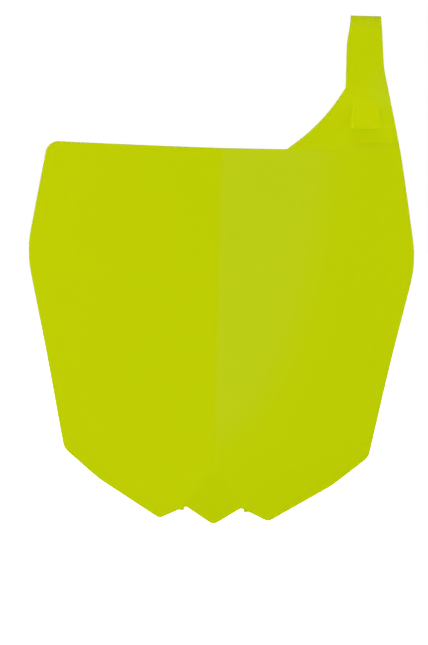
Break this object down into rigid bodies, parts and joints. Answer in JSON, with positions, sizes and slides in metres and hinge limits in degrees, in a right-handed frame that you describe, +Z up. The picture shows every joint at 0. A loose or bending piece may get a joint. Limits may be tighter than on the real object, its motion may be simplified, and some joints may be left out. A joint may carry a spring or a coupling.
{
  "type": "motocross front number board",
  "caption": "Glossy fluorescent yellow moulded front number board: creased cambered shell, handlebar strap with a hooded keeper, toothed lower edge, and peg tabs behind it.",
  "frame": {"origin": "midway between the two peg holes, on the underside of the peg tabs", "axes": "+Z up as the board stands on the bike, -Y towards whoever looks at its front, +X to that viewer's right"},
  "size_m": [0.2404, 0.1368, 0.3176],
  "materials": {
    "fluorescent_polypropylene": "glossy injection-moulded polypropylene, self-coloured fluorescent yellow"
  },
  "bodies": {
    "root": {"number_board": "fluorescent_polypropylene"}
  },
  "joints": []
}
